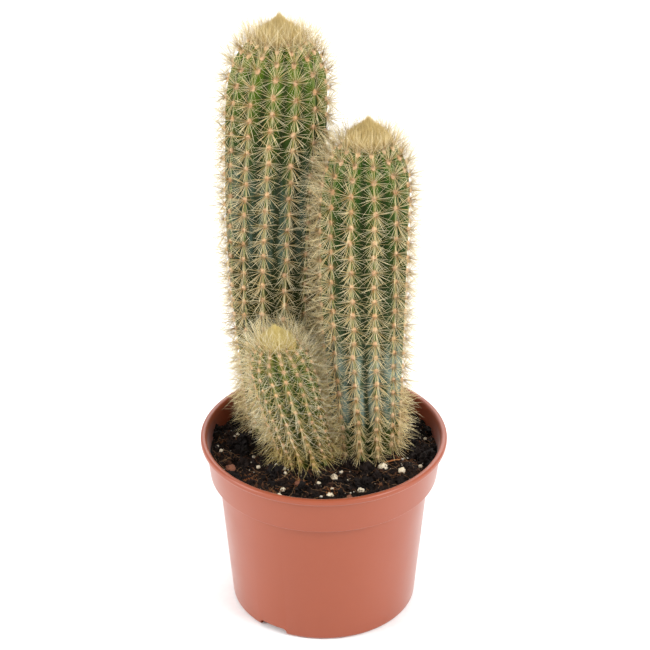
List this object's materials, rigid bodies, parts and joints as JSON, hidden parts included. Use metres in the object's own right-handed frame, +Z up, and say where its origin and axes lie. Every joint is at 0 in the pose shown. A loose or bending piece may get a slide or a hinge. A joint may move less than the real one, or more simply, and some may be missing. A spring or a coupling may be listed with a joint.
{
  "type": "potted tall cactus",
  "caption": "Group of tall ribbed columnar cactus stems with golden crowns and fine spines, growing in gritty soil in a round terracotta-coloured nursery pot.",
  "frame": {"origin": "middle of the pot's foot, on the surface that it stands on", "axes": "+Z up along the stems; -Y is the front, with the small stem in front of the tall one and the middle stem on the right; +X is to the right seen from the front"},
  "size_m": [0.12, 0.12, 0.296],
  "materials": {
    "terracotta_plastic": "smooth satin moulded plastic",
    "potting_soil": "damp crumbly potting mix, matte",
    "cactus_skin": "waxy green skin with a blue-grey bloom, straw-coloured spines and woolly areoles",
    "perlite_grain": "rough porous white granules",
    "bark": "rough dry bark",
    "dry_wood": "dry fibrous twig"
  },
  "bodies": {
    "root": {"pot": "terracotta_plastic", "soil": "potting_soil", "tall_stem": "cactus_skin", "middle_stem": "cactus_skin", "small_stem": "cactus_skin", "perlite_01": "perlite_grain", "perlite_02": "perlite_grain", "perlite_03": "perlite_grain", "perlite_04": "perlite_grain", "perlite_05": "perlite_grain", "perlite_06": "perlite_grain", "perlite_07": "perlite_grain", "perlite_08": "perlite_grain", "perlite_09": "perlite_grain", "perlite_10": "perlite_grain", "perlite_11": "perlite_grain", "perlite_12": "perlite_grain", "perlite_13": "perlite_grain", "perlite_14": "perlite_grain", "perlite_15": "perlite_grain", "perlite_16": "perlite_grain", "perlite_17": "perlite_grain", "perlite_18": "perlite_grain", "perlite_19": "perlite_grain", "perlite_20": "perlite_grain", "perlite_21": "perlite_grain", "bark_chip_01": "bark", "bark_chip_02": "bark", "bark_chip_03": "bark", "bark_chip_04": "bark", "dry_twig": "dry_wood"}
  },
  "joints": []
}
